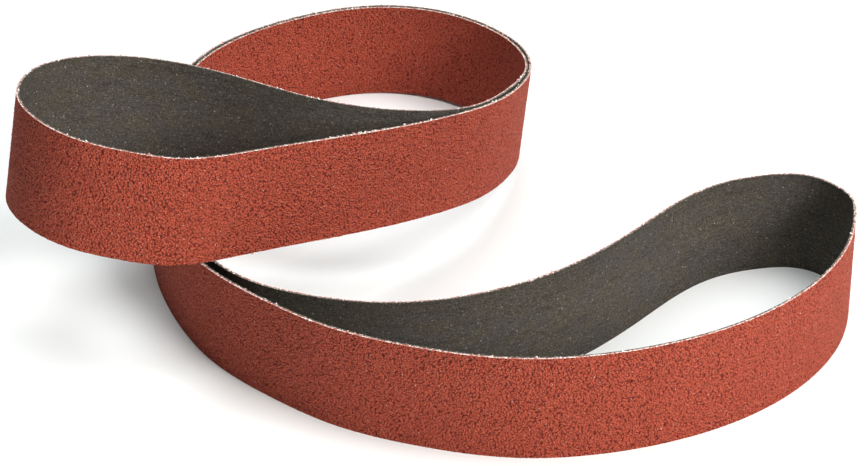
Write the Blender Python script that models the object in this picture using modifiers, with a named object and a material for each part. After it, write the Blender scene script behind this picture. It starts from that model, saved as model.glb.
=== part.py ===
"""An endless sanding belt, off its machine and standing on one long edge.

The belt is a strip of cloth, closed into a ring, with coarse grain bonded to its outer face. Stood on edge,
it springs into two loops that are joined by a doubled run, where the cloth faces itself. The low loop and the
run stand upright on the floor. The high loop crosses over the run twice and leans on it, so it lies on a
tilted plane, and it comes back down to the floor in the turn at its right end.

The model is one closed route, drawn in plan through a few stations and then lifted to the floor or to the
tilted plane. Each layer of the belt is an open band that follows the route, made solid by its own thickness.

Sizes are in millimetres. +X runs along the loops, +Y away from the front of the low loop, +Z up.
"""

import math
from dataclasses import dataclass

import bmesh
import bpy
import numpy as np
from mathutils import Vector

MM = 0.001

# The strip
BELT_WIDTH = 50.8
BACKING_THICKNESS = 0.6
COAT_THICKNESS = 0.5
BOND_GAP = 0.3  # clear between the cloth and the grain

# How the belt lies on itself
CLOTH_CLEARANCE = 0.3  # between the two cloth faces of the doubled run, where they are closest
REAR_CROSSING_CLEARANCE = 0.8  # from the run's top edge up to the high loop, which bears on it here
FRONT_CROSSING_CLEARANCE = 4.0
RIGHT_END_RISE = 10.0  # height of the tilted plane at the right end of the doubled run

# How finely the bends are faceted
FACET_LENGTH = 11.0
FACET_TURN = math.radians(7)
SMOOTH_BELOW = math.radians(40)  # steeper edges are drawn sharp

# The low loop, from the front crossing round its right end and back. Stations are (x, y) in plan.
LOW_LOOP = [
    (-100, -88),
    (-71, -118),
    (-45, -138),
    (-8, -155),
    (33, -165),
    (83, -161),
    (125, -145),
    (159, -119),
    (182, -85),
    (190, -58),
    (190, -41),
    (186, -34),
    (180, -27),
    (170, -22),
    (155, -22),
    (134, -28),
    (95, -62),
    (57, -97),
    (18, -116),
    (-18, -121),
    (-53, -114),
    (-82, -99),
]

# The doubled run's middle line, from the front crossing round the back to the right end. The third number is
# how far each layer stands off from where the two would be closest.
DOUBLED_RUN = [
    (-116, -55, 1.6),
    (-134, 13, 0.9),
    (-128, 71, 0.5),
    (-114, 114, 0.3),
    (-76, 150, 0.1),
    (-31, 164, 0.1),
    (5, 154, 0.1),
    (26, 135, 0.1),
    (41, 106, 0.3),
    (43, 77, 0.1),
]

# The high loop, from the right end along its rear wall, round its left end and back along its front wall
HIGH_LOOP = [
    (30, 39),
    (5, 0),
    (-12, -10),
    (-31, -15),
    (-57, -15),
    (-112, 3),
    (-145, 5),
    (-168, -4),
    (-184, -21),
    (-190, -42),
    (-188, -63),
    (-175, -85),
    (-159, -97),
    (-132, -103),
    (-120, -103),
    (-87, -84),
    (-14, -25),
    (23, 18),
    (37, 49),
]

# Both layers pass together from upright on the floor to the tilt of the high loop, as the turn at the right
# end goes round. Distances are along the belt from the doubled run's right end.
TILT_STARTS_BEFORE = 176.0
TILT_FULL_AFTER = 120.0

STEPS_PER_SPAN = 32


@dataclass(frozen=True)
class Layer:
    """One layer of the strip. Its offset is from the middle of the strip to the middle of the layer."""

    name: str
    thickness: float
    offset: float
    colour: tuple
    roughness: float


STRIP_THICKNESS = BACKING_THICKNESS + BOND_GAP + COAT_THICKNESS

BACKING = Layer(
    name="cloth_backing",
    thickness=BACKING_THICKNESS,
    offset=(BACKING_THICKNESS - STRIP_THICKNESS) / 2,
    colour=(0.075, 0.065, 0.055, 1),
    roughness=0.9,
)
COAT = Layer(
    name="abrasive_coat",
    thickness=COAT_THICKNESS,
    offset=(STRIP_THICKNESS - COAT_THICKNESS) / 2,
    colour=(0.42, 0.075, 0.04, 1),
    roughness=0.8,
)


def unit(vectors):
    return vectors / np.linalg.norm(vectors, axis=1)[:, None]


def ahead(points):
    """Unit vectors along a closed line of points."""
    return unit(np.roll(points, -1, axis=0) - np.roll(points, 1, axis=0))


def distances(points):
    """Distance along an open line of points to each of them."""
    return np.concatenate(([0.0], np.cumsum(np.linalg.norm(np.diff(points, axis=0), axis=1))))


def run_layer(side):
    """One layer of the doubled run: side is -1 for the right of its middle line and 1 for the left."""
    run = np.array(DOUBLED_RUN, float)
    middle = run[:, :2]
    along = unit(np.gradient(middle, axis=0))
    left = np.column_stack((-along[:, 1], along[:, 0]))
    closest = (STRIP_THICKNESS + CLOTH_CLEARANCE) / 2
    return middle + side * (closest + run[:, 2:]) * left


def route_stations():
    """All stations in the order of the route, with grain always on the right-hand side."""
    return np.vstack((LOW_LOOP, run_layer(-1), HIGH_LOOP, run_layer(1)[::-1]))


def closed_spline(stations):
    """Points along the smooth closed curve through the stations, STEPS_PER_SPAN for each span."""
    count = len(stations)
    span = np.linalg.norm(np.roll(stations, -1, axis=0) - stations, axis=1)
    before = np.roll(span, 1)
    system = np.diag(2 * (before + span))
    for i in range(count):
        system[i, i - 1] += before[i]
        system[i, (i + 1) % count] += span[i]
    slope = (np.roll(stations, -1, axis=0) - stations) / span[:, None]
    bend = np.linalg.solve(system, 6 * (slope - np.roll(slope, 1, axis=0)))
    points = []
    for i in range(count):
        j = (i + 1) % count
        for t in np.arange(STEPS_PER_SPAN) / STEPS_PER_SPAN:
            s = 1 - t
            straight = s * stations[i] + t * stations[j]
            bow = (s**3 - s) * bend[i] + (t**3 - t) * bend[j]
            points.append(straight + bow * span[i] ** 2 / 6)
    return np.array(points)


def crossing(first, second):
    """Where two open lines cross in plan."""
    for a, b in zip(first[:-1], first[1:]):
        for c, d in zip(second[:-1], second[1:]):
            sides = np.column_stack((b - a, c - d))
            if abs(np.linalg.det(sides)) < 1e-9:
                continue
            share = np.linalg.solve(sides, c - a)
            if (share >= 0).all() and (share <= 1).all():
                return a + share[0] * (b - a)
    raise ValueError("the high loop no longer crosses the doubled run")


class Route:
    """The belt's lower edge in space, with the way up the belt's face and the way out of it at each point."""

    def __init__(self):
        stations = route_stations()
        self.first_run = len(LOW_LOOP)
        self.high = self.first_run + len(DOUBLED_RUN)
        self.last_run = self.high + len(HIGH_LOOP)
        self.plan = closed_spline(stations)
        steps = np.linalg.norm(np.roll(self.plan, -1, axis=0) - self.plan, axis=1)
        self.length = np.concatenate(([0.0], np.cumsum(steps)))
        self.slope = self.tilted_plane()
        tilt = self.tilt_share()
        lift = tilt * (self.slope[0] + self.plan @ self.slope[1:])
        self.base = np.column_stack((self.plan, lift))
        self.up = self.way_up(tilt)
        self.out = np.cross(ahead(self.base), self.up)

    def at(self, station):
        """The index among the curve's points of a station of the whole route."""
        return station * STEPS_PER_SPAN

    def tilted_plane(self):
        """The height at the origin and the slopes along X and Y of the plane that the high loop lies on.

        It bears on the doubled run at the rear crossing, clears it at the front one and is low over the run's
        right end. Both layers of the run are under each crossing, and the plane is lower over the right one.
        """
        left_end = self.at(self.high + len(HIGH_LOOP) // 2)
        rear = self.plan[self.at(self.high) : left_end]
        front = self.plan[left_end : self.at(self.last_run)]
        run = self.plan[self.at(self.first_run - 1) : self.at(self.high)]
        held = [
            (crossing(rear, run), BELT_WIDTH + REAR_CROSSING_CLEARANCE),
            (crossing(front, run), BELT_WIDTH + FRONT_CROSSING_CLEARANCE),
            (self.plan[self.at(self.high - 1)], RIGHT_END_RISE),
        ]
        rows = np.array([(1, place[0], place[1]) for place, _ in held])
        return np.linalg.solve(rows, np.array([height for _, height in held]))

    def reach(self):
        """How far each point of the curve is past the doubled run's right end, along the belt.

        It is negative before that end. Along the run it is read from the middle line, so that both layers
        tilt alike and stay face to face.
        """
        run = distances(np.array(DOUBLED_RUN, float)[:, :2])
        high = distances(self.plan[self.at(self.high - 1) : self.at(self.last_run) + 1 : STEPS_PER_SPAN])
        past = np.minimum(high, high[-1] - high)[1:-1]
        before = run - run[-1]
        known = np.concatenate((np.full(self.first_run, before[0]), before, past, before[::-1]))
        known = np.append(known, before[0])
        return np.interp(np.arange(len(self.plan)) / STEPS_PER_SPAN, np.arange(len(known)), known)

    def tilt_share(self):
        """How far the belt follows the tilted plane: 0 on the floor, 1 in the high loop, with no kink."""
        t = np.clip((self.reach() + TILT_STARTS_BEFORE) / (TILT_STARTS_BEFORE + TILT_FULL_AFTER), 0, 1)
        return t**3 * (t * (6 * t - 15) + 10)

    def way_up(self, tilt):
        """Unit vectors up the belt's face, square to its edge, from upright to the plane's own normal."""
        lean = np.column_stack((-self.slope[1] * tilt, -self.slope[2] * tilt, np.ones(len(tilt))))
        along = ahead(self.base)
        return unit(lean - (lean * along).sum(axis=1)[:, None] * along)

    def facets(self):
        """(lower edge, way up, way out) at the lines between facets, which are closer in tight bends."""
        along = ahead(self.base)
        turn = np.arccos(np.clip((along * np.roll(along, -1, axis=0)).sum(axis=1), -1, 1))
        cost = np.diff(self.length) / FACET_LENGTH + turn / FACET_TURN
        spent = np.concatenate(([0.0], np.cumsum(cost)))
        count = math.ceil(spent[-1])
        places = np.interp(np.arange(count) * spent[-1] / count, spent, np.arange(len(spent)))
        return tuple(self.between(values, places) for values in (self.base, self.up, self.out))

    def between(self, values, places):
        """Values of the closed curve read at places that lie between its points."""
        closed = np.vstack((values, values[:1]))
        low = places.astype(int)
        part = (places - low)[:, None]
        return closed[low] * (1 - part) + closed[low + 1] * part


def clear_scene():
    for obj in list(bpy.data.objects):
        bpy.data.objects.remove(obj, do_unlink=True)


def material_of(layer):
    material = bpy.data.materials.new(layer.name)
    material.use_nodes = True
    shader = material.node_tree.nodes["Principled BSDF"]
    shader.inputs["Base Color"].default_value = layer.colour
    shader.inputs["Roughness"].default_value = layer.roughness
    shader.inputs["Metallic"].default_value = 0
    material.diffuse_color = layer.colour
    return material


def band_mesh(layer, facets):
    """The layer's middle surface: its lower edge as a closed line, drawn up over the belt's width."""
    base, up, out = facets
    edge = (base + layer.offset * out) * MM
    rise = up * BELT_WIDTH * MM
    mesh = bmesh.new()
    low = [mesh.verts.new(point) for point in edge]
    for a, b in zip(low, low[1:] + low[:1]):
        mesh.edges.new((a, b))
    drawn = bmesh.ops.extrude_edge_only(mesh, edges=mesh.edges[:])["geom"]
    high = {item for item in drawn if isinstance(item, bmesh.types.BMVert)}
    for vert, step in zip(low, rise):
        for link in vert.link_edges:
            if link.other_vert(vert) in high:
                link.other_vert(vert).co += Vector(step)
    bmesh.ops.recalc_face_normals(mesh, faces=mesh.faces[:])
    band = bpy.data.meshes.new(layer.name)
    mesh.to_mesh(band)
    mesh.free()
    band.shade_smooth()
    band.set_sharp_from_angle(angle=SMOOTH_BELOW)
    return band


def add_layer(layer, facets, collection, parent):
    """One solid layer of the belt."""
    obj = bpy.data.objects.new(layer.name, band_mesh(layer, facets))
    collection.objects.link(obj)
    obj.parent = parent
    obj.data.materials.append(material_of(layer))
    solid = obj.modifiers.new("thickness", "SOLIDIFY")
    solid.thickness = layer.thickness * MM
    solid.offset = 0
    solid.use_even_offset = True
    return obj


def plan_centre(facets):
    """The middle, in plan, of the box round the whole belt."""
    base, up, out = facets
    corners = [
        base + high * BELT_WIDTH * up + side * STRIP_THICKNESS / 2 * out
        for high in (0, 1)
        for side in (-1, 1)
    ]
    corners = np.vstack(corners)[:, :2]
    return (corners.min(axis=0) + corners.max(axis=0)) / 2


def build():
    clear_scene()
    collection = bpy.data.collections.new("sanding_belt")
    bpy.context.scene.collection.children.link(collection)
    facets = Route().facets()
    frame = bpy.data.objects.new("belt_frame", None)
    collection.objects.link(frame)
    centre = plan_centre(facets)
    frame.location = (-centre[0] * MM, -centre[1] * MM, 0)
    for layer in (BACKING, COAT):
        add_layer(layer, facets, collection, frame)


build()
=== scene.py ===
"""The looks of an endless sanding belt that stands on its edge in two loops.

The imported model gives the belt's course: each layer is a plain faceted band. This script reads the course
off the grain layer, lays fine strips along it for the cloth and the coat of grain, and adds what a faceted
band can't hold: the relief of the coat, bare crystals in it, crumbs and frayed threads on the cut edges.
Then come the floor, the light and the camera. Lengths are in metres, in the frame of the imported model.
"""

from __future__ import annotations

import logging
import math
from dataclasses import dataclass
from enum import Enum

import bmesh
import bpy
import numpy as np
from mathutils import Euler, Matrix, Vector
from mathutils.kdtree import KDTree


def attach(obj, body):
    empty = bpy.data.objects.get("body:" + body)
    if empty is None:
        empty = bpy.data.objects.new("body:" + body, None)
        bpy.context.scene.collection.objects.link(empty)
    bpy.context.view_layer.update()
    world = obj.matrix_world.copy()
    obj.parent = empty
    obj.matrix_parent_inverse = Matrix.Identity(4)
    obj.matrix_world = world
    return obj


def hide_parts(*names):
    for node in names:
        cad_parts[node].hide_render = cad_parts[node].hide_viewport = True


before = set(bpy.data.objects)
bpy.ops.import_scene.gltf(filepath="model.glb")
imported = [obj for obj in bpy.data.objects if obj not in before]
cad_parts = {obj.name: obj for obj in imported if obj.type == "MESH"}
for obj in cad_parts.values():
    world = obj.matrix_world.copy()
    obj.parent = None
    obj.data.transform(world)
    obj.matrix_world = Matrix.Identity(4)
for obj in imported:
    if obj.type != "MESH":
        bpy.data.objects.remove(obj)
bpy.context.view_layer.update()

log = logging.getLogger("sanding_belt")

MM = 0.001

STRIP_MAP = "strip"  # the UV map that runs along and across a strip
TONE = "tone"  # the attribute that holds a crumb's or crystal's own shade, from 0 to 1

Colour = tuple[float, float, float, float]


class Node(Enum):
    """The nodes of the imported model."""

    CLOTH = "cloth_backing"
    COAT = "abrasive_coat"


class Slot(Enum):
    """The record's material slots."""

    CLOTH = "cloth"
    GRAIN = "grain"


def select_only(obj: bpy.types.Object) -> None:
    """Deselects everything, then selects the object and makes it active.

    Args:
        obj: The object that the next operators act on.
    """
    bpy.ops.object.select_all(action="DESELECT")
    obj.select_set(True)
    bpy.context.view_layer.objects.active = obj


class Socket:
    """An output of a node, with the signs of arithmetic. Each sum adds its Math node."""

    def __init__(self, finish: Shader, out: bpy.types.NodeSocket) -> None:
        """Wraps an output of a node in a finish."""
        self.finish = finish
        self.out = out

    def _math(self, operation: str, *values: Socket | float) -> Socket:
        """One Math node on some values, in order."""
        return self.finish.node("ShaderNodeMath", {"operation": operation}, dict(enumerate(values)))

    def __add__(self, other: Socket | float) -> Socket:
        """The sum."""
        return self._math("ADD", self, other)

    def __radd__(self, other: float) -> Socket:
        """The sum, with a number first."""
        return self._math("ADD", other, self)

    def __sub__(self, other: Socket | float) -> Socket:
        """The difference."""
        return self._math("SUBTRACT", self, other)

    def __rsub__(self, other: float) -> Socket:
        """The difference, with a number first."""
        return self._math("SUBTRACT", other, self)

    def __mul__(self, other: Socket | float) -> Socket:
        """The product."""
        return self._math("MULTIPLY", self, other)

    def __rmul__(self, other: float) -> Socket:
        """The product, with a number first."""
        return self._math("MULTIPLY", other, self)

    def sine(self) -> Socket:
        """The sine of an angle in radians."""
        return self._math("SINE", self)

    def cosine(self) -> Socket:
        """The cosine of an angle in radians."""
        return self._math("COSINE", self)

    def least(self, other: Socket | float) -> Socket:
        """The smaller of two values."""
        return self._math("MINIMUM", self, other)

    def most(self, other: Socket | float) -> Socket:
        """The larger of two values."""
        return self._math("MAXIMUM", self, other)

    def step(self, start: Socket | float, end: Socket | float) -> Socket:
        """A smooth step.

        Args:
            start: Where the step is still 0.
            end: Where it reaches 1. It may lie below the start.

        Returns:
            The step's height for this value.
        """
        settings = {"interpolation_type": "SMOOTHSTEP"}
        inputs = {"Value": self, "From Min": start, "From Max": end}
        return self.finish.node("ShaderNodeMapRange", settings, inputs)


class Shader:
    """A material with one Principled shader, and the ways to feed it."""

    def __init__(self, name: str) -> None:
        """Starts an empty material.

        Args:
            name: The material's name.
        """
        self.material = bpy.data.materials.new(name)
        self.material.use_nodes = True
        self.tree = self.material.node_tree
        self.tree.nodes.clear()
        output = self.tree.nodes.new("ShaderNodeOutputMaterial")
        self.surface = self.tree.nodes.new("ShaderNodeBsdfPrincipled")
        self.tree.links.new(self.surface.outputs[0], output.inputs["Surface"])

    def _feed(self, node: bpy.types.Node, inputs: dict) -> None:
        """Sets or links a node's inputs.

        Args:
            node: The node.
            inputs: A value or a Socket for each input's name or number.
        """
        for key, value in inputs.items():
            if isinstance(value, Socket):
                self.tree.links.new(value.out, node.inputs[key])
            else:
                node.inputs[key].default_value = value

    def node(self, kind: str, settings: dict, inputs: dict, output: int | str = 0) -> Socket:
        """Any node of the tree.

        Args:
            kind: The node's type.
            settings: Its own properties, set first.
            inputs: A value or a Socket for each input's name or number.
            output: The output to give back.

        Returns:
            That output.
        """
        node = self.tree.nodes.new(kind)
        for key, value in settings.items():
            setattr(node, key, value)
        self._feed(node, inputs)
        return Socket(self, node.outputs[output])

    def place(self) -> Socket:
        """Where a point lies in the object, in metres."""
        return self.node("ShaderNodeTexCoord", {}, {}, "Object")

    def strip(self) -> tuple[Socket, Socket]:
        """Where a point lies on its strip.

        Returns:
            How far along and how far across, each from 0 to 1.
        """
        uv = self.node("ShaderNodeUVMap", {"uv_map": STRIP_MAP}, {})
        along = self.node("ShaderNodeSeparateXYZ", {}, {0: uv}, "X")
        return along, Socket(self, along.out.node.outputs["Y"])

    def vector(self, x: Socket | float, y: Socket | float, z: Socket | float) -> Socket:
        """A vector of three values."""
        return self.node("ShaderNodeCombineXYZ", {}, {0: x, 1: y, 2: z})

    def shifted(self, vector: Socket, by: Socket, much: float) -> Socket:
        """A vector that is moved about by a colour.

        Args:
            vector: The vector.
            by: A noise colour, whose middle is 0.5 in each channel.
            much: The most that it moves, twice over.

        Returns:
            The moved vector.
        """
        middle = self.node("ShaderNodeVectorMath", {"operation": "SUBTRACT"}, {0: by, 1: (0.5, 0.5, 0.5)})
        step = self.node("ShaderNodeVectorMath", {"operation": "SCALE"}, {0: middle, "Scale": much})
        return self.node("ShaderNodeVectorMath", {"operation": "ADD"}, {0: vector, 1: step})

    def noise(
        self, vector: Socket, size: float, detail: float = 2, rough: float = 0.5, output: str = "Fac"
    ) -> Socket:
        """Soft noise.

        Args:
            vector: Where it is read.
            size: The width of its patches, in the vector's units.
            detail: How many finer layers it has.
            rough: How strong those are.
            output: Fac, or Color for three noises at once.

        Returns:
            The noise, from 0 to 1.
        """
        inputs = {"Vector": vector, "Scale": 1 / size, "Detail": detail, "Roughness": rough}
        return self.node("ShaderNodeTexNoise", {}, inputs, output)

    def cells(self, vector: Socket, size: float) -> Socket:
        """How far a point is from the middle of the nearest of many cells, as a share of their size."""
        return self.node("ShaderNodeTexVoronoi", {}, {"Vector": vector, "Scale": 1 / size})

    def mix(self, share: Socket | float, first: Socket | Colour, second: Socket | Colour) -> Socket:
        """A mix of two colours.

        Args:
            share: How much of the second colour shows.
            first: The colour at a share of 0.
            second: The colour at a share of 1.

        Returns:
            The mixed colour.
        """
        return self.node("ShaderNodeMix", {"data_type": "RGBA"}, {0: share, 6: first, 7: second}, 2)

    def dress(self, colour: Socket | Colour, roughness: Socket | float, **constants: float) -> None:
        """Feeds the shader its colour, its roughness and what is the same all over.

        Args:
            colour: The base colour.
            roughness: The roughness.
            constants: Values of other inputs, with _ for each space in the input's name.
        """
        fixed = {name.replace("_", " "): value for name, value in constants.items()}
        self._feed(self.surface, {"Base Color": colour, "Roughness": roughness, **fixed})

    def bump(self, height: Socket, depth: float, strength: float = 1.0) -> None:
        """Raises the surface by a height.

        Args:
            height: The height, from 0 to 1.
            depth: How far a height of 1 stands out, in metres.
            strength: How much of it shows.
        """
        inputs = {"Height": height, "Distance": depth, "Strength": strength}
        self._feed(self.surface, {"Normal": self.node("ShaderNodeBump", {}, inputs)})


@dataclass(frozen=True)
class CutEdgeFinish:
    """A cut edge: chipped or torn in patches, and paler there."""

    name: str
    plain: Colour
    torn: Colour
    share: float  # how much of the edge is torn
    patch: float = 0.9 * MM
    fibre: float = 0.25 * MM
    depth: float = 0.1 * MM
    spread: float = 0.28  # how far the noise lies about its middle
    border: float = 0.06  # how softly a torn patch ends, in the noise's values

    def make(self) -> bpy.types.Material:
        """The material of the edge's own narrow faces.

        Returns:
            The material.
        """
        shader = Shader(self.name)
        place = shader.place()
        middle = 0.5 + self.spread * (0.5 - self.share)
        torn = shader.noise(place, self.patch, 3, 0.7).step(middle - self.border, middle + self.border)
        shader.dress(shader.mix(torn, self.plain, self.torn), 0.9, Specular_IOR_Level=0.2)
        shader.bump(shader.noise(place, self.fibre, 2), self.depth, 0.6)
        return shader.material


COAT_EDGE = CutEdgeFinish("cut_coat", (0.44, 0.13, 0.09, 1), (0.86, 0.81, 0.78, 1), 0.40)
CLOTH_EDGE = CutEdgeFinish("cut_cloth", (0.085, 0.072, 0.062, 1), (0.46, 0.42, 0.37, 1), 0.22)


@dataclass(frozen=True)
class CrumbFinish:
    """Crumbs and threads on the cut edges, from white to the red of the resin."""

    pale: Colour = (0.86, 0.80, 0.75, 1)
    red: Colour = (0.62, 0.24, 0.17, 1)

    def make(self) -> bpy.types.Material:
        """The material, shaded by each crumb's own tone.

        Returns:
            The material.
        """
        shader = Shader("edge_crumbs")
        tone = shader.node("ShaderNodeAttribute", {"attribute_name": TONE}, {}, "Fac")
        shader.dress(shader.mix(tone, self.pale, self.red), 0.85, Specular_IOR_Level=0.25)
        return shader.material


@dataclass(frozen=True)
class CrystalFinish:
    """Bare crystals of grain that stand out of the resin."""

    pale: Colour = (0.66, 0.36, 0.28, 1)
    red: Colour = (0.46, 0.075, 0.045, 1)

    def make(self) -> bpy.types.Material:
        """The material, shaded by each crystal's own tone.

        Returns:
            The material.
        """
        shader = Shader("grain_crystals")
        tone = shader.node("ShaderNodeAttribute", {"attribute_name": TONE}, {}, "Fac")
        shader.dress(shader.mix(tone.step(0.75, 1.0), self.red, self.pale), 0.45, Specular_IOR_Level=0.5)
        return shader.material


@dataclass(frozen=True)
class GrainFinish:
    """Coarse grain under red resin: close, lumpy and matte, with painted shade darkening its pits."""

    crest: Colour = (0.645, 0.128, 0.072, 1)
    flank: Colour = (0.500, 0.082, 0.047, 1)
    # painted shade: the pits' colour stands in for the shadow that the relief would cast
    pit_shade: Colour = (0.25, 0.032, 0.021, 1)
    speck: Colour = (0.66, 0.40, 0.33, 1)
    chipped: Colour = (0.78, 0.66, 0.60, 1)
    lump: float = 1.0 * MM
    grit: float = 0.45 * MM
    mottle: float = 22 * MM
    speck_cell: float = 4.0 * MM
    depth: float = 5.5 * MM
    parts: tuple[float, float, float] = (0.52, 0.36, 0.12)  # of lumps, ridges and grit in the height
    # where the painted shade in the pits gives way to the flank's colour
    pit_shade_slope: tuple[float, float] = (0.34, 0.54)  # the heights between which pit turns to flank
    high_slope: tuple[float, float] = (0.54, 0.80)  # and flank to crest
    mottling: float = 0.16
    speckling: float = 0.75
    chipping: float = 0.9
    dull: float = 0.88
    rubbed: float = 0.20  # how much less rough the crests are
    chip: float = 1.0 * MM
    chip_run: float = 30 * MM
    chip_edges: tuple[float, float] = (0.02 * MM, -0.06 * MM)
    upper_chips: float = 0.22 * MM
    lower_chips: float = 0.3 * MM

    def lumps(self, shader: Shader, place: Socket) -> Socket:
        """The height of the coat's surface.

        Args:
            shader: The shader that it is for.
            place: Where it is read.

        Returns:
            The height, from 0 in a pit to 1 on a crest.
        """
        wander = shader.noise(place, self.lump, 1, 0.5, "Color")
        far = shader.cells(shader.shifted(place, wander, 0.5 * self.lump), self.lump)
        ridges = shader.noise(place, 0.7 * self.lump, 1, 0.5)
        grit = shader.noise(place, self.grit, 2, 0.6)
        of_lumps, of_ridges, of_grit = self.parts
        return of_lumps * (1 - far * far) + of_ridges * ridges + of_grit * grit

    def chips(self, shader: Shader, place: Socket, belt: Course) -> Socket:
        """Where the coat is chipped away along its cut edges.

        Args:
            shader: The shader that it is for.
            place: Where it is read.
            belt: The belt's course, for its width.

        Returns:
            How far it is chipped, from 0 to 1.
        """
        _, across = shader.strip()
        ragged = shader.noise(place, self.chip, 3, 0.75).step(0.36, 0.78)
        runs = shader.noise(place, self.chip_run, 1).step(0.50, 0.62)
        upper = (1 - across) * belt.width - ragged * self.upper_chips
        lower = across * belt.width - ragged * runs * self.lower_chips
        return upper.least(lower).step(*self.chip_edges)

    def make(self, belt: Course) -> bpy.types.Material:
        """The material of the coat's outer face.

        Args:
            belt: The belt's course, for its width.

        Returns:
            The material.
        """
        shader = Shader("resin_and_grain")
        place = shader.place()
        height = self.lumps(shader, place)
        # painted shade: the colour darkens towards the pits, where the relief's shadow would fall
        colour = shader.mix(height.step(*self.pit_shade_slope), self.pit_shade, self.flank)
        colour = shader.mix(height.step(*self.high_slope), colour, self.crest)
        broad = shader.noise(place, self.mottle, 3, 0.6).step(0.3, 0.75)
        colour = shader.mix(broad * self.mottling, colour, self.flank)
        rare = shader.cells(place, self.speck_cell).step(0.11, 0.06)
        colour = shader.mix(rare * self.speckling, colour, self.speck)
        colour = shader.mix(self.chips(shader, place, belt) * self.chipping, colour, self.chipped)
        roughness = self.dull - self.rubbed * height.step(0.55, 0.8)
        shader.dress(colour, roughness, Specular_IOR_Level=0.18)
        shader.bump(height, self.depth)
        return shader.material


@dataclass(frozen=True)
class ClothFinish:
    """Heavy cloth, filled and dark, with its weave, streaks along its length, scuffs and pale flecks."""

    brown: Colour = (0.090, 0.076, 0.058, 1)
    grey: Colour = (0.084, 0.074, 0.066, 1)
    streak: Colour = (0.026, 0.023, 0.019, 1)
    scuff: Colour = (0.235, 0.215, 0.185, 1)
    fleck: Colour = (0.58, 0.55, 0.50, 1)
    warp_pitch: float = 0.9 * MM
    weft_pitch: float = 0.8 * MM
    thread_width: float = 0.7 * MM
    fuzz_size: float = 0.75 * MM
    tint_size: float = 9 * MM
    streak_width: float = 3.5 * MM
    scuff_size: float = 7 * MM
    scuffed_area: float = 45 * MM
    nap_cell: float = 1.3 * MM
    fleck_cell: float = 4.5 * MM
    depth: float = 0.22 * MM
    parts: tuple[float, float, float] = (0.40, 0.25, 0.35)  # of weave, threads and fuzz in the height
    streaking: float = 0.40
    thread_gaps: float = 0.5
    fuzz_gaps: float = 0.8
    scuffing: float = 0.55
    fuzz_tips: float = 0.5
    napping: float = 0.75
    flecking: float = 0.5

    def make(self, belt: Course) -> bpy.types.Material:
        """The material of the cloth's bare face.

        Args:
            belt: The belt's course, for its length and width.

        Returns:
            The material.
        """
        shader = Shader("filled_cloth")
        place = shader.place()
        along, across = shader.strip()
        turn = along * math.tau
        ring = belt.length / math.tau

        def stretched(much: float) -> Socket:
            """Closed coordinates along the strip, drawn out much times along its length."""
            radius = ring / much
            return shader.vector(turn.cosine() * radius, turn.sine() * radius, across * belt.width)

        warp = (across * (math.tau * belt.width / self.warp_pitch)).sine()
        picks = round(belt.length / self.weft_pitch)
        weft = (along * (math.tau * picks)).sine()
        weave = 0.5 + 0.25 * warp * weft + 0.12 * warp
        threads = shader.noise(stretched(5), self.thread_width, 3, 0.7)
        fuzz = shader.noise(place, self.fuzz_size, 4, 0.8)
        tint = shader.noise(stretched(2), self.tint_size, 3, 0.6).step(0.40, 0.60)
        colour = shader.mix(tint, self.grey, self.brown)
        streaks = shader.noise(stretched(10), self.streak_width, 3, 0.6).step(0.54, 0.72)
        colour = shader.mix(streaks * self.streaking, colour, self.streak)
        colour = shader.mix(threads.step(0.56, 0.36) * self.thread_gaps, colour, self.streak)
        colour = shader.mix(fuzz.step(0.54, 0.36) * self.fuzz_gaps, colour, self.streak)
        scuffs = shader.noise(stretched(0.4), self.scuff_size, 4, 0.7).step(0.58, 0.78)
        scuffed = shader.noise(place, self.scuffed_area, 1).step(0.47, 0.60)
        scuffs = scuffs * fuzz.step(0.42, 0.60) * scuffed
        colour = shader.mix(scuffs * self.scuffing, colour, self.scuff)
        nap = shader.cells(place, self.nap_cell).step(0.34, 0.12) * fuzz.step(0.40, 0.60)
        pale = (fuzz.step(0.56, 0.74) * self.fuzz_tips).most(nap * self.napping)
        colour = shader.mix(pale, colour, self.scuff)
        flecks = shader.cells(place, self.fleck_cell).step(0.10, 0.04)
        colour = shader.mix(flecks * self.flecking, colour, self.fleck)
        shader.dress(colour, 0.92, Specular_IOR_Level=0.2)
        of_weave, of_threads, of_fuzz = self.parts
        shader.bump(of_weave * weave + of_threads * threads + of_fuzz * fuzz, self.depth)
        return shader.material


class ClosedCurve:
    """A smooth closed curve through rows of numbers, read by distance along it."""

    def __init__(self, rows: np.ndarray, steps: np.ndarray) -> None:
        """Fits the curve.

        Args:
            rows: What the curve passes through, one row for each place.
            steps: The distance from each row to the next, round to the first.
        """
        self.rows = rows
        self.steps = steps
        self.starts = np.concatenate(([0.0], np.cumsum(steps)))
        before = np.roll(steps, 1)
        count = len(steps)
        system = np.diag(2 * (before + steps))
        for i in range(count):
            system[i, i - 1] += before[i]
            system[i, (i + 1) % count] += steps[i]
        slope = (np.roll(rows, -1, axis=0) - rows) / steps[:, None]
        self.bend = np.linalg.solve(system, 6 * (slope - np.roll(slope, 1, axis=0)))

    @property
    def length(self) -> float:
        """The way once round."""
        return float(self.starts[-1])

    def at(self, distance: np.ndarray) -> np.ndarray:
        """The rows at some distances.

        Args:
            distance: Distances along the curve. They may run past its end.

        Returns:
            One row for each.
        """
        distance = np.mod(distance, self.length)
        i = np.clip(np.searchsorted(self.starts, distance, side="right") - 1, 0, len(self.steps) - 1)
        j = (i + 1) % len(self.steps)
        span = self.steps[i][:, None]
        t = (distance - self.starts[i])[:, None] / span
        s = 1 - t
        bow = (s**3 - s) * self.bend[i] + (t**3 - t) * self.bend[j]
        return s * self.rows[i] + t * self.rows[j] + bow * span**2 / 6


def unit(vectors: np.ndarray) -> np.ndarray:
    """Vectors of length 1 with the same directions."""
    return vectors / np.linalg.norm(vectors, axis=1)[:, None]


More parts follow.
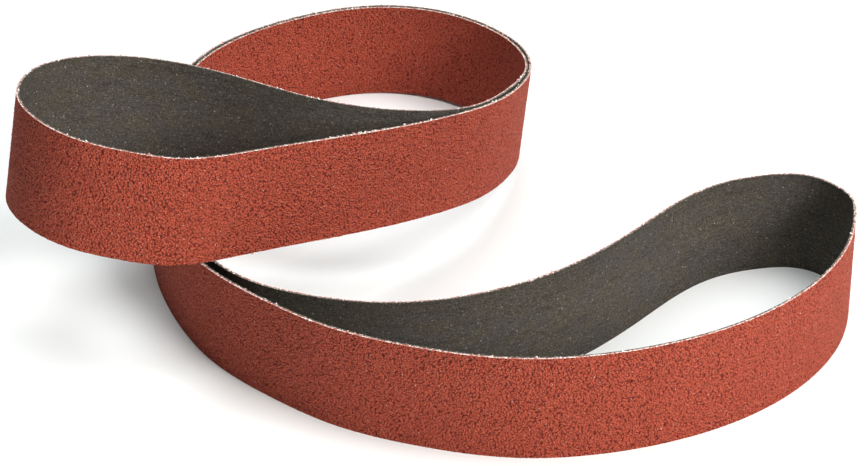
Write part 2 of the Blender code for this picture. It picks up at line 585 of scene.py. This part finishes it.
class Course:
    """The way that the belt takes: the lower edge of its grain face, the way up and the way out along it."""

    CORNER = math.radians(45)  # facets meet at less than this, and a band's faces at more
    MERGE = 0.001 * MM

    def __init__(self, cloth: bpy.types.Object, coat: bpy.types.Object) -> None:
        """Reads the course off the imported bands.

        Args:
            cloth: The cloth's node.
            coat: The grain's node.
        """
        bare = self._outer_line(cloth, coat)
        grain = self._outer_line(coat, cloth)
        low = np.array([v for v, _, _ in grain])
        up = unit(np.array([top - v for v, top, _ in grain]))
        out = unit(np.array([v - side for v, _, side in grain]))
        along = np.roll(low, -1, axis=0) - np.roll(low, 1, axis=0)
        if (np.cross(along, up) * out).sum() < 0:
            low, up, out = low[::-1], up[::-1], out[::-1]
        steps = np.linalg.norm(np.roll(low, -1, axis=0) - low, axis=1)
        self.curve = ClosedCurve(np.hstack((low, up, out)), steps)
        self.length = self.curve.length
        self.width = float(np.mean([np.linalg.norm(top - v) for v, top, _ in grain]))
        coat_thickness = float(np.mean([np.linalg.norm(v - side) for v, _, side in grain]))
        cloth_thickness = float(np.mean([np.linalg.norm(v - side) for v, _, side in bare]))
        self.thickness = self._apart(bare, grain)
        bond = self.thickness - coat_thickness - cloth_thickness
        self.coat_back = coat_thickness + bond / 2
        log.info(
            "course: %.1f mm round, %.1f mm wide, %.2f mm thick",
            self.length / MM,
            self.width / MM,
            self.thickness / MM,
        )

    @staticmethod
    def _apart(first: list, second: list) -> float:
        """How far apart two lines are.

        Args:
            first: One line's points, each with its two neighbours.
            second: The other's.

        Returns:
            The mean distance from a point of the first to the nearest of the second.
        """
        a = np.array([v for v, _, _ in first])
        b = np.array([v for v, _, _ in second])
        return float(np.mean([np.linalg.norm(b - p, axis=1).min() for p in a]))

    def _outer_line(self, node: bpy.types.Object, other: bpy.types.Object) -> list:
        """The lower edge of a band's face that isn't bonded.

        Args:
            node: The band's node.
            other: The node of the band that it is bonded to.

        Returns:
            Its points, each with the one above it and the one across the band's thickness.
        """
        lines = sorted(self._sharp_lines(node), key=lambda line: sum(v[2] for v, _, _ in line) / len(line))
        near = [(v, None, None) for line in self._sharp_lines(other) for v, _, _ in line]
        return max(lines[:2], key=lambda line: self._apart(line, near))

    def _sharp_lines(self, node: bpy.types.Object) -> list[list]:
        """The closed lines of sharp edges of a band.

        Args:
            node: The band's node.

        Returns:
            The lines, each a list of points with their two neighbours across.
        """
        mesh = bmesh.new()
        mesh.from_mesh(node.data)
        bmesh.ops.remove_doubles(mesh, verts=mesh.verts[:], dist=self.MERGE)
        sharp = [e for e in mesh.edges if len(e.link_faces) == 2 and e.calc_face_angle() > self.CORNER]
        left = dict.fromkeys(sharp)
        lines = []
        while left:
            edge = next(iter(left))
            vert = edge.verts[0]
            line = []
            while edge is not None:
                del left[edge]
                line.append(vert)
                vert = edge.other_vert(vert)
                edge = next((e for e in vert.link_edges if e in left), None)
            lines.append(line)
        on_line = {v: n for n, line in enumerate(lines) for v in line}
        found = []
        for n, line in enumerate(lines):
            points = []
            for v in line:
                across = sorted(
                    (e.calc_length(), e.other_vert(v).co.copy()[:])
                    for e in v.link_edges
                    if on_line[e.other_vert(v)] != n
                )
                side, top = across[0][1], self._above(v, on_line, n)
                points.append((np.array(v.co), top, np.array(side)))
            found.append(points)
        mesh.free()
        return found

    @staticmethod
    def _above(vert: bmesh.types.BMVert, on_line: dict, n: int) -> np.ndarray:
        """The point at the other end of the rung from a point on a long edge.

        Args:
            vert: The point.
            on_line: The number of the line that each point lies on.
            n: The number of its own line.

        Returns:
            The other end's place.
        """
        rungs = {}
        for edge in vert.link_edges:
            other = edge.other_vert(vert)
            if on_line[other] != n:
                rungs.setdefault(on_line[other], []).append((edge.calc_length(), other.co.copy()[:]))
        longest = max(rungs.values(), key=min)
        return np.array(min(longest)[1])

    def point(self, distance: np.ndarray, across: np.ndarray, depth: np.ndarray | float) -> np.ndarray:
        """Points of the belt.

        Args:
            distance: How far along the belt each lies.
            across: How far up its width, from 0 to 1.
            depth: How far in from the grain face.

        Returns:
            The points, one row each.
        """
        rows = self.curve.at(distance)
        up, out = unit(rows[:, 3:6]), unit(rows[:, 6:])
        return rows[:, :3] + up * (across * self.width)[:, None] - out * np.reshape(depth, (-1, 1))

    def axes(self, distance: np.ndarray) -> tuple[np.ndarray, np.ndarray, np.ndarray]:
        """The ways along, up and out at some distances.

        Args:
            distance: Distances along the belt.

        Returns:
            Three arrays of unit vectors, one row for each distance.
        """
        rows = self.curve.at(distance)
        up, out = unit(rows[:, 3:6]), unit(rows[:, 6:])
        return np.cross(up, out), up, out


@dataclass(frozen=True)
class Relief:
    """One layer of bumps, pushed in and out along a surface's normals."""

    name: str
    basis: str
    size: float
    height: float
    depth: int = 1

    def apply(self, obj: bpy.types.Object, group: str) -> None:
        """Displaces the group's vertices for good.

        Args:
            obj: The piece.
            group: The vertex group that the relief is for.
        """
        pattern = bpy.data.textures.new(self.name, "CLOUDS")
        pattern.noise_basis = self.basis
        pattern.noise_scale = self.size
        pattern.noise_depth = self.depth
        push = obj.modifiers.new(self.name, "DISPLACE")
        push.texture = pattern
        push.texture_coords = "LOCAL"
        push.vertex_group = group
        push.mid_level = 0.5
        push.strength = self.height
        select_only(obj)
        bpy.ops.object.modifier_apply(modifier=push.name)


class Strip:
    """A fine strip that is laid along the belt: one face in small cells, with its edges and its back."""

    SMOOTH_BELOW = math.radians(60)
    RELIEF_GROUP = "relief"

    def __init__(self, name: str, belt: Course, face: float, back: float, cells: tuple[int, int]) -> None:
        """Makes the strip.

        Args:
            name: The piece's name.
            belt: The course that it follows.
            face: The depth of its fine face, in from the belt's grain face.
            back: The depth of its plain back.
            cells: How many cells it has along and across.
        """
        self.belt = belt
        self.face = face
        self.back = back
        self.cells = cells
        along, across = cells
        bpy.ops.object.select_all(action="DESELECT")
        bpy.ops.mesh.primitive_grid_add(x_subdivisions=along, y_subdivisions=across, size=1)
        self.obj = bpy.context.object
        self.obj.name = self.obj.data.name = name
        self.obj.data.uv_layers[0].name = STRIP_MAP
        self._lay()
        self._close()

    def _coordinates(self) -> np.ndarray:
        """The places of the mesh's vertices.

        Returns:
            One row for each.
        """
        flat = np.empty(3 * len(self.obj.data.vertices))
        self.obj.data.vertices.foreach_get("co", flat)
        return flat.reshape(-1, 3)

    def _lay(self) -> None:
        """Lays the flat strip along the course and joins its ends."""
        share = self._coordinates()[:, :2] + 0.5
        self._move(0, self.belt.point(share[:, 0] * self.belt.length, share[:, 1], self.face))
        select_only(self.obj)
        bpy.ops.object.mode_set(mode="EDIT")
        bpy.ops.mesh.select_mode(type="VERT")
        bpy.ops.mesh.select_all(action="SELECT")
        bpy.ops.mesh.remove_doubles(threshold=Course.MERGE)
        bpy.ops.object.mode_set(mode="OBJECT")

    def _close(self) -> None:
        """Turns both long edges in to the depth of the back, and draws the back between them."""
        self.rim = len(self.obj.data.vertices)
        bpy.ops.object.mode_set(mode="EDIT")
        bpy.ops.mesh.select_all(action="DESELECT")
        bpy.ops.mesh.select_mode(type="EDGE")
        bpy.ops.mesh.select_non_manifold()
        bpy.ops.mesh.extrude_region_move()
        bpy.ops.object.mode_set(mode="OBJECT")
        places = self._coordinates()
        distance, across = self._rim_places(places[self.rim :], self.face)
        self._move(self.rim, self.belt.point(distance, across, self.back))

        turned = len(places)
        upper = np.zeros(turned, dtype=bool)
        upper[self.rim :] = across > 0.5
        self.obj.data.vertices.foreach_set("select", upper)
        bpy.ops.object.mode_set(mode="EDIT")
        bpy.ops.mesh.select_mode(type="VERT")
        bpy.ops.mesh.extrude_region_move()
        bpy.ops.object.mode_set(mode="OBJECT")
        distance, _ = self._rim_places(self._coordinates()[turned:], self.back)
        self._move(turned, self.belt.point(distance, np.zeros(len(distance)), self.back))

        bpy.ops.object.mode_set(mode="EDIT")
        bpy.ops.mesh.select_all(action="SELECT")
        bpy.ops.mesh.remove_doubles(threshold=Course.MERGE)
        bpy.ops.mesh.normals_make_consistent(inside=False)
        bpy.ops.object.mode_set(mode="OBJECT")

    def _move(self, first: int, places: np.ndarray) -> None:
        """Moves the mesh's last vertices.

        Args:
            first: The number of the first that moves.
            places: Where they all go.
        """
        all_places = self._coordinates()
        all_places[first:] = places
        self.obj.data.vertices.foreach_set("co", all_places.ravel())
        self.obj.data.update()

    def _rim_places(self, points: np.ndarray, depth: float) -> tuple[np.ndarray, np.ndarray]:
        """Where points of the strip's long edges lie on the belt.

        Args:
            points: The points.
            depth: How deep they lie, in from the belt's grain face.

        Returns:
            How far along the belt each lies, and how far across it.
        """
        along, _ = self.cells
        distance = np.tile(np.arange(along) * self.belt.length / along, 2)
        across = np.repeat((0.0, 1.0), along)
        found = NearestPoint(self.belt.point(distance, across, depth)).nearest(points)
        return distance[found], across[found]

    def roughen(self, layers: tuple[Relief, ...], floor_clearance: float, floor_margin: float) -> None:
        """Gives the fine face a relief.

        Args:
            layers: The reliefs, one over the other.
            floor_clearance: How high over the floor the relief starts.
            floor_margin: How much higher it is full.
        """
        height = self._coordinates()[: self.rim, 2]
        weight = np.round(np.clip((height - floor_clearance) / floor_margin, 0, 1), 1)
        group = self.obj.vertex_groups.new(name=self.RELIEF_GROUP)
        for share in np.unique(weight[weight > 0]):
            group.add(np.flatnonzero(weight == share).tolist(), float(share), "REPLACE")
        for layer in layers:
            layer.apply(self.obj, self.RELIEF_GROUP)

    def dress(self, face: bpy.types.Material, edge: bpy.types.Material) -> None:
        """Finishes the strip and shades it smooth.

        Args:
            face: The finish of its fine face.
            edge: The finish of its narrow edges and its back.
        """
        along, across = self.cells
        self.obj.data.materials.clear()
        self.obj.data.materials.append(face)
        self.obj.data.materials.append(edge)
        index = np.zeros(len(self.obj.data.polygons), dtype=np.int32)
        index[along * across :] = 1
        self.obj.data.polygons.foreach_set("material_index", index)
        select_only(self.obj)
        bpy.ops.object.shade_smooth_by_angle(angle=self.SMOOTH_BELOW)


class NearestPoint:
    """Finds the nearest of many points."""

    def __init__(self, points: np.ndarray) -> None:
        """Sorts the points for the search.

        Args:
            points: The points, one row each.
        """
        self.tree = KDTree(len(points))
        for i, point in enumerate(points):
            self.tree.insert(point, i)
        self.tree.balance()

    def nearest(self, places: np.ndarray) -> np.ndarray:
        """The number of the point nearest to each place."""
        return np.array([self.tree.find(place)[1] for place in places])


@dataclass
class Copies:
    """Many small copies of a few shapes, which make one piece."""

    places: np.ndarray
    turns: np.ndarray
    sizes: np.ndarray
    tones: np.ndarray

    def make(self, name: str, shapes: list[bpy.types.Object]) -> bpy.types.Object:
        """Copies the shapes in turn to all the places and removes the shapes.

        Args:
            name: The piece's name.
            shapes: Small closed meshes about a unit in size.

        Returns:
            The piece.
        """
        points, faces, tones = [], [], []
        count = 0
        models = [self._read(shape) for shape in shapes]
        for i, place in enumerate(self.places):
            model, corners = models[i % len(models)]
            points.append((model * self.sizes[i]) @ self.turns[i].T + place)
            faces.extend([tuple(c + count for c in face) for face in corners])
            tones.append(np.full(len(model), self.tones[i]))
            count += len(model)
        mesh = bpy.data.meshes.new(name)
        mesh.from_pydata(np.vstack(points).tolist(), [], faces)
        tone = mesh.attributes.new(TONE, "FLOAT", "POINT")
        tone.data.foreach_set("value", np.concatenate(tones))
        obj = bpy.data.objects.new(name, mesh)
        bpy.context.scene.collection.objects.link(obj)
        for shape in shapes:
            bpy.data.objects.remove(shape)
        return obj

    @staticmethod
    def _read(shape: bpy.types.Object) -> tuple[np.ndarray, list[tuple[int, ...]]]:
        """A shape's points and faces."""
        points = np.array([v.co for v in shape.data.vertices])
        return points, [tuple(p.vertices) for p in shape.data.polygons]


def random_turns(rng: np.random.Generator, count: int) -> np.ndarray:
    """Turns in all directions.

    Args:
        rng: The source of chance.
        count: How many to draw.

    Returns:
        3 by 3 matrices.
    """
    turns = np.linalg.qr(rng.normal(size=(count, 3, 3)))[0]
    turns[:, :, 0] *= np.sign(np.linalg.det(turns))[:, None]
    return turns


CRYSTAL_SHAPE = (1.0, 0.8, 0.65)
CRYSTAL_CORNERS = (0.72, 1.2)  # how far in or out each corner is moved
THREAD_CUTS = (-0.25, 0.0, 0.25)
THREAD_BEND = 4.0  # how far to the side the tip may lie, in radii
THREAD_TAPER = 0.6  # how much thinner the tip is


def crystal(rng: np.random.Generator) -> bpy.types.Object:
    """One blocky crystal, about a unit in radius.

    Args:
        rng: The source of chance.

    Returns:
        The crystal.
    """
    bpy.ops.object.select_all(action="DESELECT")
    bpy.ops.mesh.primitive_ico_sphere_add(subdivisions=1, radius=1)
    obj = bpy.context.object
    bpy.ops.object.mode_set(mode="EDIT")
    bpy.ops.mesh.select_all(action="SELECT")
    bpy.ops.transform.resize(value=CRYSTAL_SHAPE)
    bpy.ops.object.mode_set(mode="OBJECT")
    for vert in obj.data.vertices:
        vert.co *= float(rng.uniform(*CRYSTAL_CORNERS))
    return obj


def thread(rng: np.random.Generator) -> bpy.types.Object:
    """One short bent thread along Z, a unit long and a unit in radius at its root.

    Args:
        rng: The source of chance.

    Returns:
        The thread.
    """
    bpy.ops.object.select_all(action="DESELECT")
    bpy.ops.mesh.primitive_cylinder_add(vertices=4, radius=1, depth=1)
    obj = bpy.context.object
    bpy.ops.object.mode_set(mode="EDIT")
    for place in THREAD_CUTS:
        bpy.ops.mesh.select_all(action="SELECT")
        bpy.ops.mesh.bisect(plane_co=(0, 0, place), plane_no=(0, 0, 1))
    bpy.ops.object.mode_set(mode="OBJECT")
    bend = rng.uniform(-THREAD_BEND, THREAD_BEND, 2)
    for vert in obj.data.vertices:
        t = vert.co.z + 0.5
        taper = 1 - THREAD_TAPER * t
        vert.co.x = vert.co.x * taper + bend[0] * t * t
        vert.co.y = vert.co.y * taper + bend[1] * t * t
        vert.co.z = t
    return obj


@dataclass
class GrainCoat:
    """The coat of coarse grain on the belt's outer face."""

    belt: Course
    cells: tuple[int, int] = (2010, 46)
    reliefs: tuple[Relief, ...] = (
        Relief("lumps", "VORONOI_F2_F1", 2.2 * MM, 0.26 * MM),
        Relief("swell", "BLENDER_ORIGINAL", 2.6 * MM, 0.24 * MM, 2),
    )
    floor_clearance: float = 0.1 * MM
    floor_margin: float = 2 * MM
    crystals: int = 6000
    crystal_kinds: int = 6
    crystal_radius: tuple[float, float] = (0.16 * MM, 0.42 * MM)
    crystal_span: tuple[float, float] = (0.008, 0.996)  # the share of the width that they lie in
    sunk: float = 0.25  # how deep a crystal's middle lies, as a share of its radius
    seed: int = 11

    def build(self, edge: bpy.types.Material) -> list[bpy.types.Object]:
        """Makes the coat and the crystals that stand out of it.

        Args:
            edge: The finish of its cut edges.

        Returns:
            Its pieces.
        """
        strip = Strip("grain_coat", self.belt, 0.0, self.belt.coat_back, self.cells)
        strip.roughen(self.reliefs, self.floor_clearance, self.floor_margin)
        strip.dress(GrainFinish().make(self.belt), edge)
        return [strip.obj, self._crystals()]

    def _crystals(self) -> bpy.types.Object:
        """Bare crystals all over the coat.

        Returns:
            The crystals as one piece.
        """
        rng = np.random.default_rng(self.seed)
        n = self.crystals
        distance = rng.uniform(0, self.belt.length, n)
        across = rng.uniform(*self.crystal_span, n)
        size = rng.uniform(*self.crystal_radius, n)
        copies = Copies(
            places=self.belt.point(distance, across, self.sunk * size),
            turns=random_turns(rng, n),
            sizes=np.repeat(size[:, None], 3, axis=1),
            tones=rng.uniform(0, 1, n),
        )
        obj = copies.make("grain_crystals", [crystal(rng) for _ in range(self.crystal_kinds)])
        obj.data.materials.append(CrystalFinish().make())
        return obj


@dataclass
class ClothBacking:
    """The belt's cloth, bare on the inner face."""

    belt: Course
    cells: tuple[int, int] = (1530, 34)

    def build(self, edge: bpy.types.Material) -> list[bpy.types.Object]:
        """Makes the cloth.

        Args:
            edge: The finish of its cut edges.

        Returns:
            Its piece.
        """
        strip = Strip("cloth", self.belt, self.belt.thickness, self.belt.coat_back, self.cells)
        strip.dress(ClothFinish().make(self.belt), edge)
        return [strip.obj]


@dataclass
class CutEdges:
    """What the slitting left on the two long edges: crumbs of resin and cloth, and frayed threads."""

    belt: Course
    crumbs: int = 3200
    threads: int = 420
    clusters: int = 70
    cluster_spread: float = 6 * MM
    clustered: float = 0.55  # the share of crumbs and threads that lie in clusters
    on_upper: float = 0.72  # the share that lie on the upper edge
    crumb_radius: tuple[float, float] = (0.10 * MM, 0.62 * MM)
    crumb_stretch: tuple[float, float] = (0.6, 1.5)
    crumb_stand: float = 0.3  # how far its middle stands off the edge, as a share of its radius
    small_power: int = 4  # the higher, the more of the crumbs are small
    pale_power: int = 3  # the higher, the more of them are pale
    thread_length: tuple[float, float] = (0.5 * MM, 1.7 * MM)
    thread_radius: float = 0.045 * MM
    thread_root: float = 0.1 * MM  # how far a thread starts inside the edge
    thread_lean: tuple[float, float] = (1, 0.5)  # how much it leans along the belt and out of it
    thread_tones: tuple[float, float] = (0, 0.3)
    crumb_kinds: int = 6
    thread_kinds: int = 5
    clear_of_floor: float = 1.0 * MM
    seed: int = 5

    def build(self) -> list[bpy.types.Object]:
        """Makes the crumbs and the threads.

        Returns:
            Their two pieces.
        """
        rng = np.random.default_rng(self.seed)
        finish = CrumbFinish().make()
        pieces = [self._crumbs(rng), self._threads(rng)]
        for piece in pieces:
            piece.data.materials.append(finish)
        return pieces

    def _along(self, rng: np.random.Generator, count: int) -> np.ndarray:
        """Distances along the belt, some all over and some in clusters.

        Args:
            rng: The source of chance.
            count: How many to draw.

        Returns:
            The distances.
        """
        middles = rng.uniform(0, self.belt.length, self.clusters)
        near = rng.choice(middles, count) + rng.normal(0, self.cluster_spread, count)
        far = rng.uniform(0, self.belt.length, count)
        return np.where(rng.uniform(size=count) < self.clustered, near, far)

    def _spots(self, rng: np.random.Generator, count: int) -> tuple[np.ndarray, ...]:
        """Random spots on the cut edges, none near the floor.

        Args:
            rng: The source of chance.
            count: How many to draw.

        Returns:
            Their places, and the ways along, out of the edge and out of the grain face there.
        """
        distance = self._along(rng, count)
        top = rng.uniform(size=count) < self.on_upper
        depth = rng.uniform(0.0, self.belt.thickness, count)
        places = self.belt.point(distance, np.where(top, 1.0, 0.0), depth)
        along, up, out = self.belt.axes(distance)
        away = np.where(top[:, None], up, -up)
        free = places[:, 2] > self.clear_of_floor
        return places[free], along[free], away[free], out[free]

    def _crumbs(self, rng: np.random.Generator) -> bpy.types.Object:
        """Crumbs along the edges, most of them small and pale.

        Args:
            rng: The source of chance.

        Returns:
            The crumbs as one piece.
        """
        places, _, away, _ = self._spots(rng, self.crumbs)
        n = len(places)
        least, most = self.crumb_radius
        size = least + rng.uniform(0, 1, n) ** self.small_power * (most - least)
        places = places + away * (self.crumb_stand * size)[:, None]
        sizes = size[:, None] * rng.uniform(*self.crumb_stretch, (n, 3))
        copies = Copies(places, random_turns(rng, n), sizes, rng.uniform(0, 1, n) ** self.pale_power)
        return copies.make("edge_crumbs", [crystal(rng) for _ in range(self.crumb_kinds)])

    def _threads(self, rng: np.random.Generator) -> bpy.types.Object:
        """Frayed threads along the edges.

        Args:
            rng: The source of chance.

        Returns:
            The threads as one piece.
        """
        places, along, away, out = self._spots(rng, self.threads)
        n = len(places)
        lean_along, lean_out = self.thread_lean
        lean = rng.normal(0, lean_along, (n, 1)) * along + rng.normal(0, lean_out, (n, 1)) * out + away
        lean = unit(lean)
        side = unit(np.cross(lean, out + 0.1 * along))
        turns = np.stack((side, np.cross(lean, side), lean), axis=2)
        length = rng.uniform(*self.thread_length, n)
        sizes = np.column_stack((np.full(n, self.thread_radius), np.full(n, self.thread_radius), length))
        copies = Copies(places - lean * self.thread_root, turns, sizes, rng.uniform(*self.thread_tones, n))
        return copies.make("frayed_threads", [thread(rng) for _ in range(self.thread_kinds)])


@dataclass(frozen=True)
class Camera:
    """A camera at the height and distance from which the photograph's perspective comes."""

    place: tuple[float, float, float] = (-0.5 * MM, -962.5 * MM, 603.2 * MM)
    pitch: float = math.radians(31.618)
    roll: float = math.radians(-1.496)
    focal_pixels: float = 2357.4
    picture_width: float = 866.0
    sensor: float = 36.0
    clip_start: float = 10 * MM

    def build(self) -> None:
        """Makes the camera and gives it to the scene."""
        data = bpy.data.cameras.new("camera")
        data.sensor_width = self.sensor
        data.lens = self.focal_pixels / self.picture_width * self.sensor
        data.clip_start = self.clip_start
        obj = bpy.data.objects.new("camera", data)
        bpy.context.scene.collection.objects.link(obj)
        look = Euler((math.pi / 2 - self.pitch, 0, 0)).to_matrix()
        obj.rotation_euler = (look @ Matrix.Rotation(self.roll, 3, "Z")).to_euler()
        obj.location = self.place
        bpy.context.scene.camera = obj


@dataclass(frozen=True)
class Lamp:
    """One soft studio light that points at the belt."""

    name: str
    place: tuple[float, float, float]
    size: float
    power: float
    colour: tuple[float, float, float] = (1.0, 1.0, 1.0)

    def build(self) -> None:
        """Makes the light."""
        data = bpy.data.lights.new(self.name, "AREA")
        data.shape = "DISK"
        data.size = self.size
        data.energy = self.power
        data.color = self.colour
        obj = bpy.data.objects.new(self.name, data)
        bpy.context.scene.collection.objects.link(obj)
        obj.location = self.place
        obj.rotation_euler = Vector(self.place).to_track_quat("Z", "Y").to_euler()


@dataclass(frozen=True)
class Studio:
    """A plain pale floor under soft lights."""

    floor_size: float = 12.0
    floor_colour: Colour = (0.88, 0.88, 0.88, 1)
    sky: Colour = (0.85, 0.98, 1.0, 1)
    sky_strength: float = 0.04
    lamps: tuple[Lamp, ...] = (
        Lamp("side", (1.05, -1.25, 0.8), 0.7, 24.5, (1.0, 0.98, 0.94)),
        Lamp("key", (1.1, -0.55, 1.7), 1.2, 26.0, (1.0, 0.98, 0.95)),
        Lamp("top", (0.1, 0.3, 1.9), 1.8, 34.0, (0.95, 1.0, 1.0)),
    )

    def build(self) -> None:
        """Makes the floor, the sky and the lights."""
        bpy.ops.object.select_all(action="DESELECT")
        bpy.ops.mesh.primitive_plane_add(size=self.floor_size, location=(0, 0, 0))
        floor = bpy.context.object
        floor.name = "floor"
        shader = Shader("floor")
        shader.dress(self.floor_colour, 0.95, Specular_IOR_Level=0.0)
        floor.data.materials.append(shader.material)
        world = bpy.data.worlds.new("studio")
        world.use_nodes = True
        sky = world.node_tree.nodes["Background"]
        sky.inputs["Color"].default_value = self.sky
        sky.inputs["Strength"].default_value = self.sky_strength
        bpy.context.scene.world = world
        for lamp in self.lamps:
            lamp.build()


def main() -> None:
    """Builds the belt's looks, the floor, the light and the camera."""
    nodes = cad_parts
    belt = Course(nodes[Node.CLOTH.value], nodes[Node.COAT.value])
    cloth = ClothBacking(belt).build(CLOTH_EDGE.make())
    coat = GrainCoat(belt).build(COAT_EDGE.make())
    edges = CutEdges(belt).build()
    for pieces, slot in ((cloth, Slot.CLOTH), (coat, Slot.GRAIN), (edges, Slot.CLOTH)):
        for piece in pieces:
            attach(piece, "root")
            log.info("%s: %d faces", piece.name, len(piece.data.polygons))
    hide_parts(Node.CLOTH.value)
    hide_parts(Node.COAT.value)
    Camera().build()
    Studio().build()
    bpy.context.scene.view_settings.view_transform = "Standard"


if __name__ == "__main__":
    logging.basicConfig(level=logging.INFO)
    main()
